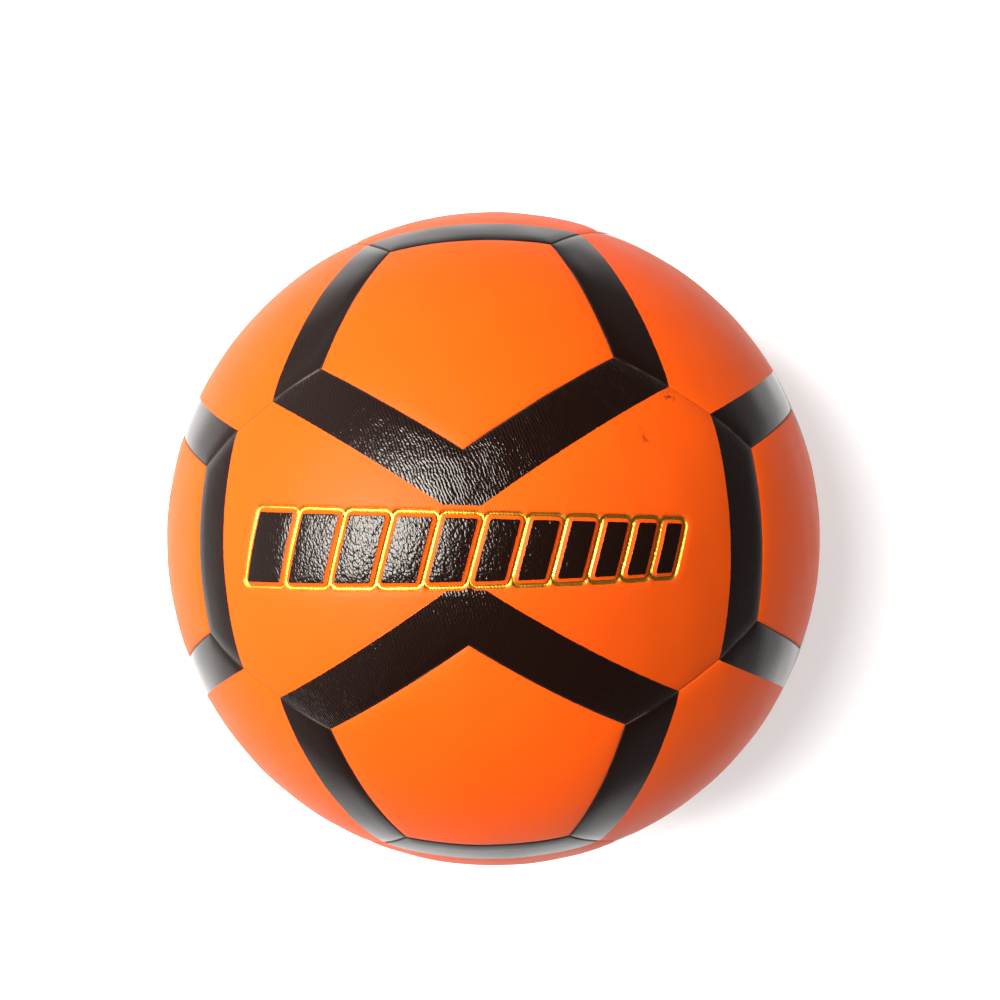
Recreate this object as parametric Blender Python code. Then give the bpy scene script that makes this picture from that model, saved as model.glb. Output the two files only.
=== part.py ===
"""Size 5 soccer ball, built the way a sewn panel ball is built.

The cover is a truncated icosahedron drawn on a sphere: twelve pentagons and twenty hexagons.
Twelve of the hexagons are cut in pairs, as six double panels with no seam across the middle,
so the cover has twenty-six panels. Each panel has a turned-in flange along its seams and a
cloth lining behind it. One sewing thread runs behind every seam. Inside lies an inflated
bladder with its valve, a reinforcing patch round the valve and a balance patch opposite it.

The origin is the ball's centre. The emblem panel faces +Z and the valve faces +Y.
"""
import math
from itertools import pairwise

import bmesh
import bpy
from mathutils import Matrix, Vector

# Driving dimensions, in metres.
CIRCUMFERENCE = 0.690            # size 5 balls measure 0.680 to 0.700
BALL_RADIUS = CIRCUMFERENCE / (2.0 * math.pi)

SEAM_GAP = 0.0003                # left between neighbouring panels
SHOULDER_WIDTH = 0.0028          # the panel's face rolls over into the seam across this width
SHOULDER_DROP = 0.0008
COVER_THICKNESS = 0.0022         # synthetic leather and its foam backing
LINING_GAP = 0.0003
LINING_THICKNESS = 0.0008        # four plies of cloth
FLANGE_DEPTH = COVER_THICKNESS + LINING_GAP + LINING_THICKNESS
FLANGE_THICKNESS = 0.0012

THREAD_WIDTH = 0.0009
THREAD_GAP = 0.0003              # between the flanges' feet and the thread

BLADDER_RADIUS = BALL_RADIUS - 0.0051
BLADDER_WALL = 0.0006
PATCH_INNER_RADIUS = BALL_RADIUS - 0.0046
PATCH_THICKNESS = 0.0006
VALVE_PATCH_SPREAD = 0.0180      # radius of the disc, measured from its middle
BALANCE_PATCH_SPREAD = 0.0160

VALVE_RECESS = 0.0008            # the valve's top sits this far below the panel's face
VALVE_HOLE_RADIUS = 0.0042       # through the valve panel and its lining
STEM_RADIUS = 0.0038
STEM_CHAMFER = 0.0004
BORE_RADIUS = 0.0025
HOUSING_FLANGE_RADIUS = 0.0100   # the disc at the stem's foot, inside the bladder
HOUSING_FLANGE_THICKNESS = 0.0012
BLADDER_OPENING_RADIUS = 0.0043
BLADDER_SEAT_RADIUS = 0.0110     # the bladder is formed to meet the housing's flange out to here
CORE_RADIUS = 0.0022
FIT_GAP = 0.0003                 # left where the core, the housing and the bladder meet
CORE_BULB_RADIUS = 0.0034
CORE_BULB_LENGTH = 0.0030
NEEDLE_RADIUS = 0.0006
NEEDLE_DEPTH = 0.0050

# Facets.
EDGE_SEGMENTS = 3                # straight steps along a seam, from corner to corner
BLADDER_STEPS = 24
BLADDER_RINGS = 11
PATCH_RINGS = 3
VALVE_STEPS = 16

MERGE_DISTANCE = 1e-6

# Names of the two double panels that carry something, by the way they face.
SPECIAL_PANELS = {
    "emblem": Vector((0.0, 0.0, 1.0)),
    "valve": Vector((0.0, 1.0, 0.0)),
}


def clear_scene():
    for obj in list(bpy.data.objects):
        bpy.data.objects.remove(obj, do_unlink=True)


def make_material(name, color, roughness):
    material = bpy.data.materials.new(name)
    material.use_nodes = True
    shader = material.node_tree.nodes["Principled BSDF"]
    shader.inputs["Base Color"].default_value = (*color, 1.0)
    shader.inputs["Roughness"].default_value = roughness
    shader.inputs["Metallic"].default_value = 0.0
    material.diffuse_color = (*color, 1.0)
    return material


def make_object(name, bm, material, rotation=None):
    """Turn a bmesh into a named object, shaded smooth except at its corners."""
    mesh = bpy.data.meshes.new(name)
    bm.to_mesh(mesh)
    bm.free()
    mesh.materials.append(material)
    mesh.shade_smooth()
    mesh.set_sharp_from_angle(angle=math.radians(30.0))
    obj = bpy.data.objects.new(name, mesh)
    if rotation is not None:
        obj.matrix_world = rotation
    bpy.context.collection.objects.link(obj)
    return obj


# ---------------------------------------------------------------- panel layout

def icosahedron_points():
    """The twelve points of an icosahedron with an edge's middle on each of the six axes."""
    golden = (1.0 + math.sqrt(5.0)) / 2.0
    points = []
    for one in (1.0, -1.0):
        for long in (golden, -golden):
            points.append(Vector((0.0, one, long)))
            points.append(Vector((long, 0.0, one)))
            points.append(Vector((one, long, 0.0)))
    return points


def truncated_icosahedron():
    """A bmesh with twelve flat pentagons and twenty flat hexagons."""
    points = icosahedron_points()
    edge_length = 2.0
    bm = bmesh.new()
    for here in points:
        for there in points:
            if abs((here - there).length - edge_length) < MERGE_DISTANCE:
                bm.verts.new((2.0 * here + there) / 3.0)
    bmesh.ops.convex_hull(bm, input=bm.verts)
    bmesh.ops.dissolve_limit(bm, angle_limit=math.radians(1.0), verts=bm.verts, edges=bm.edges)
    bmesh.ops.recalc_face_normals(bm, faces=bm.faces)
    return bm


def lies_on_an_axis(edge):
    """True for the six edges whose middle is on the X, Y or Z axis."""
    middle = (edge.verts[0].co + edge.verts[1].co).normalized()
    return max(abs(part) for part in middle) > 0.999


def sort_key(facets):
    """Order panels from the top down, then round the Z axis."""
    middle = sum((corner for facet in facets for corner in facet), Vector()).normalized()
    turn = math.atan2(middle.y, middle.x) % (2.0 * math.pi)
    return (round(-middle.z, 4), round(turn, 4))


def panel_layout():
    """Return {name pattern: facets}, where the pattern's braces take the word panel or lining.

    A facet is a list of flat corners. A double panel has two facets, any other panel has one.
    """
    bm = truncated_icosahedron()
    pentagons = [[face] for face in bm.faces if len(face.verts) == 5]
    doubles = [list(edge.link_faces) for edge in bm.edges if lies_on_an_axis(edge)]
    joined = {face for pair in doubles for face in pair}
    hexagons = [[face] for face in bm.faces if len(face.verts) == 6 and face not in joined]

    def as_corners(groups):
        corners = [[[vert.co.copy() for vert in face.verts] for face in group] for group in groups]
        return sorted(corners, key=sort_key)

    layout = {}
    for number, facets in enumerate(as_corners(pentagons), start=1):
        layout[f"pentagon_{{}}_{number:02d}"] = facets
    for number, facets in enumerate(as_corners(hexagons), start=1):
        layout[f"hexagon_{{}}_{number}"] = facets
    plain_number = 1
    for facets in as_corners(doubles):
        middle = sum((corner for facet in facets for corner in facet), Vector()).normalized()
        special = [name for name, way in SPECIAL_PANELS.items() if middle.dot(way) > 0.999]
        if special:
            layout[special[0] + "_{}"] = facets
        else:
            layout[f"double_{{}}_{plain_number}"] = facets
            plain_number += 1
    bm.free()
    return layout


# ---------------------------------------------------------------- curved slabs

def sphere_patch(facets):
    """Lay a panel's facets on the unit sphere as a net of small triangles."""
    bm = bmesh.new()
    for facet in facets:
        bm.faces.new([bm.verts.new(corner) for corner in facet])
    bmesh.ops.remove_doubles(bm, verts=bm.verts, dist=MERGE_DISTANCE)
    bmesh.ops.poke(bm, faces=bm.faces)
    bmesh.ops.subdivide_edges(bm, edges=bm.edges, cuts=EDGE_SEGMENTS - 1, use_grid_fill=True)
    bmesh.ops.triangulate(bm, faces=bm.faces)
    for vert in bm.verts:
        vert.co.normalize()
    return bm


def outline_of(bm):
    """The patch's boundary vertices in order, counter-clockwise seen from outside the ball."""
    loop = next(loop for face in bm.faces for loop in face.loops if loop.edge.is_boundary)
    outline = []
    while loop.vert not in outline:
        outline.append(loop.vert)
        next_vert = loop.link_loop_next.vert
        loop = next(step for step in next_vert.link_loops if step.edge.is_boundary)
    return outline


def inward_steps(outline):
    """For each outline point, the vector that takes it one metre in from each seam it lies on."""
    steps = []
    for i, here in enumerate(outline):
        before = outline[i - 1].co.cross(here.co).normalized()
        after = here.co.cross(outline[(i + 1) % len(outline)].co).normalized()
        steps.append((before + after) / (1.0 + before.dot(after)))
    return steps


def rim_point(direction, inward, setback, depth):
    """The point that stands setback in from the seams and depth below the ball's surface."""
    radius = BALL_RADIUS - depth
    sideways = inward * setback
    return direction * math.sqrt(radius ** 2 - sideways.length_squared) + sideways


def bridge_rings(bm, rings):
    """Join each ring of vertices to the next one with a band of quads."""
    for upper, lower in pairwise(rings):
        for i in range(len(upper)):
            bm.faces.new((upper[i - 1], lower[i - 1], lower[i], upper[i]))


def slab(facets, rim):
    """A closed curved slab with an outer skin, a rim and an inner skin.

    rim lists (setback, depth) pairs, from the outer skin's edge round to the inner skin's edge.
    """
    bm = sphere_patch(facets)
    outline = outline_of(bm)
    directions = [vert.co.copy() for vert in outline]
    steps = inward_steps(outline)
    outer_verts = bm.verts[:]
    outer_faces = bm.faces[:]
    copy = bmesh.ops.duplicate(bm, geom=outer_verts + bm.edges[:] + outer_faces)
    inner_of = copy["vert_map"]
    inner_faces = [item for item in copy["geom"] if isinstance(item, bmesh.types.BMFace)]
    bmesh.ops.reverse_faces(bm, faces=inner_faces)
    for vert in outer_verts:
        inner_of[vert].co = vert.co * (BALL_RADIUS - rim[-1][1])
        vert.co *= BALL_RADIUS - rim[0][1]
    rings = [outline]
    for _ in rim[1:-1]:
        rings.append([bm.verts.new() for _ in outline])
    rings.append([inner_of[vert] for vert in outline])
    for ring, (setback, depth) in zip(rings, rim):
        for vert, direction, inward in zip(ring, directions, steps):
            vert.co = rim_point(direction, inward, setback, depth)
    bridge_rings(bm, rings)
    return bm


def cover_panel(facets):
    """The panel's face, its rolled shoulder, and the flange turned in along the seams."""
    face_edge = SEAM_GAP / 2.0
    flange_back = face_edge + FLANGE_THICKNESS
    return slab(facets, [
        (face_edge + SHOULDER_WIDTH, 0.0),
        (face_edge, SHOULDER_DROP),
        (face_edge, FLANGE_DEPTH),
        (flange_back, FLANGE_DEPTH),
        (flange_back, COVER_THICKNESS),
    ])


def lining(facets):
    """The cloth behind a panel, lying between its flanges."""
    setback = SEAM_GAP / 2.0 + FLANGE_THICKNESS + LINING_GAP
    top = COVER_THICKNESS + LINING_GAP
    return slab(facets, [(setback, top), (setback, top + LINING_THICKNESS)])


def seam_thread(layout):
    """One four-sided cord that follows every seam, just behind the flanges."""
    middle = FLANGE_DEPTH + THREAD_GAP + THREAD_WIDTH / 2.0
    half = THREAD_WIDTH / 2.0
    bm = bmesh.new()
    for facets in layout.values():
        patch = sphere_patch(facets)
        outline = outline_of(patch)
        rings = []
        for setback, depth in ((0.0, middle - half), (half, middle), (0.0, middle + half)):
            points = [rim_point(vert.co, inward, setback, depth)
                      for vert, inward in zip(outline, inward_steps(outline))]
            rings.append([bm.verts.new(point) for point in points])
        bridge_rings(bm, rings)
        patch.free()
    bmesh.ops.remove_doubles(bm, verts=bm.verts, dist=MERGE_DISTANCE)
    bmesh.ops.recalc_face_normals(bm, faces=bm.faces)
    return bm


# ---------------------------------------------------------------- turned pieces

def turned(profile, steps, is_ring):
    """Spin a profile of (distance from axis, height) points round Z.

    A ring's profile closes on itself; any other profile starts and ends on the axis.
    """
    bm = bmesh.new()
    verts = [bm.verts.new((distance, 0.0, height)) for distance, height in profile]
    edges = [bm.edges.new(pair) for pair in pairwise(verts)]
    if is_ring:
        edges.append(bm.edges.new((verts[-1], verts[0])))
    bmesh.ops.spin(bm, geom=verts + edges, cent=(0.0, 0.0, 0.0), axis=(0.0, 0.0, 1.0),
                   angle=2.0 * math.pi, steps=steps, use_merge=True)
    bmesh.ops.remove_doubles(bm, verts=bm.verts, dist=MERGE_DISTANCE)
    bmesh.ops.recalc_face_normals(bm, faces=bm.faces)
    return bm


def arc(radius, angles):
    """Points of a circle round the origin, at these angles from the Z axis."""
    return [(radius * math.sin(angle), radius * math.cos(angle)) for angle in angles]


def even_angles(start, end, count):
    return [start + (end - start) * i / count for i in range(count + 1)]


def bladder():
    """A thin ball of rubber with a round opening for the valve at its top."""
    opening = math.asin(BLADDER_OPENING_RADIUS / BLADDER_RADIUS)
    seat = math.asin(BLADDER_SEAT_RADIUS / BLADDER_RADIUS)
    angles = [opening] + even_angles(seat, math.pi, BLADDER_RINGS)
    outside = arc(BLADDER_RADIUS, angles)
    inside = arc(BLADDER_RADIUS - BLADDER_WALL, angles)
    return turned(inside[::-1] + outside, BLADDER_STEPS, is_ring=False)


def valve_patch():
    """A reinforcing disc round the stem, between the bladder and the lining."""
    angles = even_angles(math.asin(BLADDER_OPENING_RADIUS / PATCH_INNER_RADIUS),
                         math.asin(VALVE_PATCH_SPREAD / PATCH_INNER_RADIUS), PATCH_RINGS)
    inside = arc(PATCH_INNER_RADIUS, angles)
    outside = arc(PATCH_INNER_RADIUS + PATCH_THICKNESS, angles)
    return turned(inside + outside[::-1], BLADDER_STEPS, is_ring=True)


def balance_patch():
    """A disc of the valve's weight, opposite the valve."""
    angles = even_angles(0.0, math.asin(BALANCE_PATCH_SPREAD / PATCH_INNER_RADIUS), PATCH_RINGS)
    inside = arc(PATCH_INNER_RADIUS, angles)
    outside = arc(PATCH_INNER_RADIUS + PATCH_THICKNESS, angles)
    return turned(inside + outside[::-1], BLADDER_STEPS, is_ring=False)


def housing_heights():
    """Heights of the housing's flange bottom, flange top and stem top above the ball's centre."""
    seat = math.asin(BLADDER_SEAT_RADIUS / BLADDER_RADIUS)
    flange_top = (BLADDER_RADIUS - BLADDER_WALL) * math.cos(seat) - FIT_GAP
    return flange_top - HOUSING_FLANGE_THICKNESS, flange_top, BALL_RADIUS - VALVE_RECESS


def valve_housing():
    """A bored stem with a flange at its foot, which seals against the bladder from inside."""
    flange_bottom, flange_top, stem_top = housing_heights()
    return turned([
        (BORE_RADIUS, stem_top),
        (STEM_RADIUS - STEM_CHAMFER, stem_top),
        (STEM_RADIUS, stem_top - STEM_CHAMFER),
        (STEM_RADIUS, flange_top),
        (HOUSING_FLANGE_RADIUS, flange_top),
        (HOUSING_FLANGE_RADIUS, flange_bottom),
        (BORE_RADIUS, flange_bottom),
    ], VALVE_STEPS, is_ring=True)


def valve_core():
    """The plug that the pump's needle goes into, with a bulb that holds it in the housing."""
    flange_bottom, _, stem_top = housing_heights()
    bulb_top = flange_bottom - FIT_GAP
    bulb_bottom = bulb_top - CORE_BULB_LENGTH
    return turned([
        (0.0, stem_top - NEEDLE_DEPTH),
        (NEEDLE_RADIUS, stem_top - NEEDLE_DEPTH),
        (NEEDLE_RADIUS, stem_top),
        (CORE_RADIUS, stem_top),
        (CORE_RADIUS, bulb_top),
        (CORE_BULB_RADIUS, bulb_top),
        (CORE_BULB_RADIUS, bulb_top - CORE_BULB_LENGTH / 2.0),
        (CORE_RADIUS, bulb_bottom),
        (0.0, bulb_bottom),
    ], VALVE_STEPS, is_ring=False)


def cut_valve_hole(panels, rotation):
    """Cut the stem's hole through the valve panel and its lining."""
    bm = bmesh.new()
    bmesh.ops.create_cone(bm, cap_ends=True, segments=BLADDER_STEPS, radius1=VALVE_HOLE_RADIUS,
                          radius2=VALVE_HOLE_RADIUS, depth=6.0 * FLANGE_DEPTH)
    bmesh.ops.translate(bm, verts=bm.verts, vec=(0.0, 0.0, BALL_RADIUS))
    cutter = make_object("valve_hole_cutter", bm, panels[0].data.materials[0], rotation)
    cutter.hide_render = True
    cutter.display_type = "WIRE"
    for panel in panels:
        hole = panel.modifiers.new("valve_hole", "BOOLEAN")
        hole.operation = "DIFFERENCE"
        hole.object = cutter


# ---------------------------------------------------------------- the ball

def main():
    clear_scene()
    leather = make_material("cover_leather", (0.93, 0.22, 0.03), 0.42)
    cloth = make_material("lining_cloth", (0.78, 0.76, 0.70), 0.90)
    thread = make_material("sewing_thread", (0.30, 0.12, 0.05), 0.75)
    latex = make_material("bladder_rubber", (0.05, 0.05, 0.05), 0.55)
    patch_rubber = make_material("patch_rubber", (0.12, 0.11, 0.10), 0.70)
    valve_rubber = make_material("valve_rubber", (0.02, 0.02, 0.02), 0.45)
    core_rubber = make_material("valve_core_rubber", (0.06, 0.06, 0.06), 0.50)

    to_valve = Matrix.Rotation(math.radians(-90.0), 4, "X")
    away_from_valve = Matrix.Rotation(math.radians(90.0), 4, "X")

    layout = panel_layout()
    objects = {}
    for pattern, facets in layout.items():
        panel_name = pattern.format("panel")
        lining_name = pattern.format("lining")
        objects[panel_name] = make_object(panel_name, cover_panel(facets), leather)
        objects[lining_name] = make_object(lining_name, lining(facets), cloth)
    cut_valve_hole([objects["valve_panel"], objects["valve_lining"]], to_valve)

    make_object("seam_thread", seam_thread(layout), thread)
    make_object("bladder", bladder(), latex, to_valve)
    make_object("valve_patch", valve_patch(), patch_rubber, to_valve)
    make_object("balance_patch", balance_patch(), patch_rubber, away_from_valve)
    make_object("valve_housing", valve_housing(), valve_rubber, to_valve)
    make_object("valve_core", valve_core(), core_rubber, to_valve)


main()
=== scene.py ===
"""Looks of the soccer ball: printed leather panels, embossed motif, valve, stage, light, camera.

Every cover panel is rebuilt as a fine closed skin on the ball that the frame gives, with its
soft seam valleys, its turned-in flange and the embossed motif in real relief. The print's edges
are carried on the vertices as distances in millimetres, so that they stay crisp.
"""
import itertools
import math
import random

import bmesh
import bpy
import numpy as np
from mathutils import Matrix, Vector


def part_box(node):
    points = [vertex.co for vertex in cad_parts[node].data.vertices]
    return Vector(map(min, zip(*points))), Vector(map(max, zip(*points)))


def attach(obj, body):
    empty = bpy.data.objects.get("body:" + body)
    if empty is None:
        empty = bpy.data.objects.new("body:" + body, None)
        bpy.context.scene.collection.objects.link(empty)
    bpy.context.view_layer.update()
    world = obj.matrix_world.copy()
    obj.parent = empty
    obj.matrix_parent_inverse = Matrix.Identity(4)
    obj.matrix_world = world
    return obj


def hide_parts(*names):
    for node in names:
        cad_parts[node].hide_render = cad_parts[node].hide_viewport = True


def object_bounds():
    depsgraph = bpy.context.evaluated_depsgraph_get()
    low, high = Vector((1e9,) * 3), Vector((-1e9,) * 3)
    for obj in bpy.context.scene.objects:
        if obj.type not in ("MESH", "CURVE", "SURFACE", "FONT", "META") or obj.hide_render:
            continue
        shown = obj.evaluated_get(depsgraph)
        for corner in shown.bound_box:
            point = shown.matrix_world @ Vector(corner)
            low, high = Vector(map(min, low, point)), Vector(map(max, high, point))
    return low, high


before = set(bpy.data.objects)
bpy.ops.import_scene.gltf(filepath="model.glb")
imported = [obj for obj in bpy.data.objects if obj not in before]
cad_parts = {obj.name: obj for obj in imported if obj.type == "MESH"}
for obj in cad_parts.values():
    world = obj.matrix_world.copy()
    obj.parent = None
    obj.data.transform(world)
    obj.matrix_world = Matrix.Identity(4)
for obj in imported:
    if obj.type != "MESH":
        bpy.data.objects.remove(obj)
CAD_LOW, CAD_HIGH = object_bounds()
MM = 0.001
BALL_RADIUS = max(vert.co.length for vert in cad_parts["emblem_panel"].data.vertices) / MM

# Cover panels, in millimetres.
SEAM_GAP = 0.06                  # between two panels, at the bottom of their seam
VALLEY_DEPTH = 0.26              # the padded panel rolls down towards its seams
VALLEY_REACH = 4.0
CREASE_DEPTH = 0.10              # the last turn of the skin into the seam
CREASE_REACH = 0.7
SKIN_THICKNESS = 2.2
FLANGE_DEPTH = 3.3
FLANGE_THICKNESS = 1.2
UNDERSIDE_RINGS = 5
UNEVENNESS = 0.022               # the height of each slow wave
UNEVEN_WAVES = ((31.0, -17.0, 23.0), (-19.0, 37.0, 11.0), (13.0, 29.0, -41.0), (-43.0, -7.0, 33.0))
PANEL_NET = {"steps": 36, "crowding": 1.5}
EMBLEM_NET = {"steps": 88, "crowding": 1.15}
VALVE_NET = {"steps": 44, "crowding": 1.3}

# Black bands printed along the pentagons, in millimetres.
BAND_WIDTH = 13.0
NO_BAND = 50.0

# Motif on the emblem panel, in millimetres: u runs along +X and v along +Y from its middle.
BAR_COUNT = 11
BAR_WIDTH = 11.0                 # of the first bar
BAR_SHRINK = 0.91                # from one bar to the next
BAR_GAP = 2.8
BAR_LEAN = 0.30                  # sideways per unit of height
BAR_CORNER = 0.5
BARS_START = -58.0
BARS_FOOT = -7.6
BARS_HEAD = 6.6                  # in the middle of the panel
HEAD_SLOPE = 0.055               # the heads lie on a line that falls towards the right
GOLD_START = 0.8                 # the foil line's inner and outer distance from the bars
GOLD_END = 1.85
MOTIF_CLEAR = 1.95               # the bands stop this far from the bars
MOTIF_CLEAR_ABOVE = 2.9
PUFF_HEIGHT = 0.45
PUFF_WALL = 0.40                 # a bar's wall rises over this width outside its edge
PUFF_WALL_SHARE = 0.75           # of the height
PUFF_CROWN = 2.2                 # and its crown over this width inside it
GROOVE_DEPTH = 0.42
GROOVE_RISE = (0.65, 1.15)
GROOVE_FALL = (1.5, 2.0)
DIP_DEPTH = 0.35                 # the padding round the motif is pressed down
DIP_START = 1.2
DIP_REACH = 2.4
MOTIF_ZONE = (-64.0, 58.0, -14.0, 19.0)

# Valve, in millimetres.
VALVE_HOLE_RADIUS = 4.2
VALVE_HOLE_ROLL = 1.4            # the hole's edge rolls down over this width
VALVE_HOLE_DROP = 0.6
VALVE_ZONE_RADIUS = 9.0

# Camera and light, in metres and degrees.
CAMERA_PLACE = Vector((0.0170, 0.0080, 0.2777))
CAMERA_AIM = Vector((0.0024, 0.0119, 0.0))
CAMERA_ROLL = -1.7
CAMERA_LENS = 27.34
KEY_PLACE = Vector((-0.272, 0.082, 0.481))
KEY_SIZE = 0.17
KEY_POWER = 5.15
FILL_PLACE = Vector((0.316, -0.024, 0.322))
FILL_SIZE = 0.40
FILL_POWER = 0.46
SHEEN_PLACE = Vector((-0.290, 0.045, 0.490))
SHEEN_SIZE = 0.26
SHEEN_POWER = 16.5
SHEEN_COLOR = (1.0, 0.95, 0.86)
FLOOR_REACH = 3.0
GLOW_NEAR_BALL = 0.36            # painted shadow: the floor's glow is dimmer close to the ball
GLOW = 0.90
SHADOW_MIDDLE = Vector((0.020, -0.016, CAD_LOW.z))
GLOW_STARTS = (0.147, 0.182)
GLOW_MIDDLE = (-0.40, -0.06, 0.0)  # painted light: the floor's glow reaches further to the left
GLOW_ENDS = (0.62, 1.00)
WINDOW_WAY = (-0.90, 0.40, 0.15)
WINDOW_EDGES = (0.2, 0.8)
WALL_EDGES = (0.40, 0.05)        # by height, from none of the wall's light to all of it
WINDOW_LIGHT = (1.25, 1.25, 1.25, 1.0)
WALL_LIGHT = (0.34, 0.34, 0.345, 1.0)
ROOM_LIGHT = (0.09, 0.09, 0.095, 1.0)


# ---------------------------------------------------------------- the ball's layout

def unit(vectors):
    return vectors / np.linalg.norm(vectors, axis=-1, keepdims=True)


class Facet:
    """A flat pentagon or hexagon of the ball, its corners counter-clockwise seen from outside."""

    def __init__(self, corners, banded):
        self.corners = np.array(corners)
        self.middle = self.corners.mean(axis=0)
        self.way = unit(self.middle)
        self.edges = list(zip(self.corners, np.roll(self.corners, -1, axis=0)))
        self.banded = banded


def round_order(centre, points):
    """Sort points counter-clockwise round a centre, seen from outside."""
    across = unit(points[0] - centre * (points[0] @ centre))
    up = np.cross(centre, across)
    return sorted(points, key=lambda point: math.atan2(point @ up, point @ across))


def ball_facets():
    """The twelve pentagons and twenty hexagons of a truncated icosahedron."""
    golden = (1.0 + math.sqrt(5.0)) / 2.0
    tips = []
    for one, long in itertools.product((1.0, -1.0), (golden, -golden)):
        tips += [(0.0, one, long), (long, 0.0, one), (one, long, 0.0)]
    tips = unit(np.array(tips))
    one_edge_apart = 1.0 / math.sqrt(5.0)
    neighbours = tips @ tips.T > 0.9 * one_edge_apart
    np.fill_diagonal(neighbours, False)
    pentagons = []
    for tip, near in zip(tips, neighbours):
        around = round_order(tip, list(tips[near]))
        pentagons.append(Facet([(2.0 * tip + other) / 3.0 for other in around], [False] * 5))
    hexagons = []
    for i, j, k in itertools.combinations(range(len(tips)), 3):
        if neighbours[i, j] and neighbours[j, k] and neighbours[i, k]:
            three = [tips[i], tips[j], tips[k]]
            a, b, c = round_order(unit(sum(three)), three)
            corners = [2.0 * a + b, 2.0 * b + a, 2.0 * b + c, 2.0 * c + b, 2.0 * c + a, 2.0 * a + c]
            hexagons.append(Facet(np.array(corners) / 3.0, [False, True] * 3))
    return pentagons, hexagons


def facets_of(node, pentagons, hexagons):
    """The facets that a CAD panel covers, found by the way it faces."""
    low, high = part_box(node)
    way = np.array((low + high).normalized())
    if node.startswith("pentagon"):
        return [max(pentagons, key=lambda facet: facet.way @ way)]
    nearest = sorted(hexagons, key=lambda facet: -(facet.way @ way))
    return nearest[:1] if node.startswith("hexagon") else nearest[:2]


def outline_edges(facets):
    """The edges of a panel that are seams, leaving out the one its two facets share."""
    edges = [edge for facet in facets for edge in facet.edges]

    def is_shared(edge):
        return any(np.allclose(edge[0], other[1]) and np.allclose(edge[1], other[0])
                   for other in edges)

    return [edge for edge in edges if not is_shared(edge)]


# ---------------------------------------------------------------- nets of triangles

def fan_net(facet, steps, crowding):
    """A flat facet as a fan of triangular nets, its rows closer together towards the edges."""
    reach = 1.0 - (1.0 - np.arange(steps + 1) / steps) ** crowding
    shares = [np.linspace(0.0, 1.0, row + 1)[:, None] for row in range(steps + 1)]
    start = [row * (row + 1) // 2 for row in range(steps + 2)]
    triangles = []
    for row in range(steps):
        near = start[row] + np.arange(row + 1)
        far = start[row + 1] + np.arange(row + 1)
        triangles.append(np.stack([near, far, far + 1], axis=1))
        triangles.append(np.stack([near[:-1], far[:-1] + 1, near[1:]], axis=1))
    triangles = np.concatenate(triangles)
    points, faces = [], []
    for number, (corner, following) in enumerate(facet.edges):
        for row in range(steps + 1):
            side = (corner - facet.middle) * (1.0 - shares[row])
            other = (following - facet.middle) * shares[row]
            points.append(facet.middle + reach[row] * (side + other))
        faces.append(triangles + number * start[-1])
    return np.concatenate(points), np.concatenate(faces)


def panel_net(facets, steps, crowding):
    """A panel's welded net on the unit sphere."""
    points, faces, count = [], [], 0
    for facet in facets:
        facet_points, facet_faces = fan_net(facet, steps, crowding)
        points.append(facet_points)
        faces.append(facet_faces + count)
        count += len(facet_points)
    points = unit(np.concatenate(points))
    _, first, inverse = np.unique(points.round(6), axis=0, return_index=True, return_inverse=True)
    return points[first], inverse.ravel()[np.concatenate(faces)]


def refine(points, faces, is_inside):
    """Halve the edges that lie in a zone of the net."""
    mesh = bpy.data.meshes.new("refined")
    mesh.from_pydata(points.tolist(), [], faces.tolist())
    bm = bmesh.new()
    bm.from_mesh(mesh)
    inside = is_inside(points)
    bm.verts.ensure_lookup_table()
    edges = [edge for edge in bm.edges if inside[edge.verts[0].index] and inside[edge.verts[1].index]]
    bmesh.ops.subdivide_edges(bm, edges=edges, cuts=1, use_grid_fill=True)
    bmesh.ops.triangulate(bm, faces=bm.faces)
    bm.to_mesh(mesh)
    bm.free()
    points, faces = mesh_arrays(mesh)
    bpy.data.meshes.remove(mesh)
    return unit(points), faces


def mesh_arrays(mesh):
    points = np.empty(len(mesh.vertices) * 3)
    mesh.vertices.foreach_get("co", points)
    faces = np.empty(len(mesh.polygons) * 3, dtype=int)
    mesh.polygons.foreach_get("vertices", faces)
    return points.reshape(-1, 3), faces.reshape(-1, 3)


# ---------------------------------------------------------------- distances, in millimetres

def distance_from_way(points, way):
    """Distance from each point of the sphere to where a way comes out of it."""
    return BALL_RADIUS * np.arccos(np.clip(points @ way, -1.0, 1.0))


def distance_to_arc(points, start, end):
    """Distance from each point of the sphere to the seam between two corners."""
    start, end = unit(start), unit(end)
    pole = unit(np.cross(start, end))
    between = (points @ np.cross(pole, start) >= 0.0) & (points @ np.cross(pole, end) <= 0.0)
    to_line = np.arcsin(np.abs(points @ pole))
    to_corner = np.arccos(np.clip(np.maximum(points @ start, points @ end), -1.0, 1.0))
    return BALL_RADIUS * np.where(between, to_line, to_corner)


def distance_to_seams(points, facets):
    return np.min([distance_to_arc(points, *edge) for edge in outline_edges(facets)], axis=0)


def distance_to_bands(points, facets):
    """Distance past the edge of the nearest black band, negative inside it."""
    best = np.full(len(points), NO_BAND)
    closeness = np.stack([points @ facet.way for facet in facets])
    for number, facet in enumerate(facets):
        own = closeness.argmax(axis=0) == number
        for (start, end), banded in zip(facet.edges, facet.banded):
            if banded:
                pole = unit(np.cross(start, end))
                past = BALL_RADIUS * np.arcsin(points @ pole) - BAND_WIDTH
                best = np.where(own, np.minimum(best, past), best)
    return best


def motif_place(points):
    """Where a point of the sphere lies on the emblem panel: u along +X, v along +Y."""
    u = BALL_RADIUS * np.arctan2(points[:, 0], points[:, 2])
    v = BALL_RADIUS * np.arcsin(points[:, 1])
    return u, v


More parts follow.
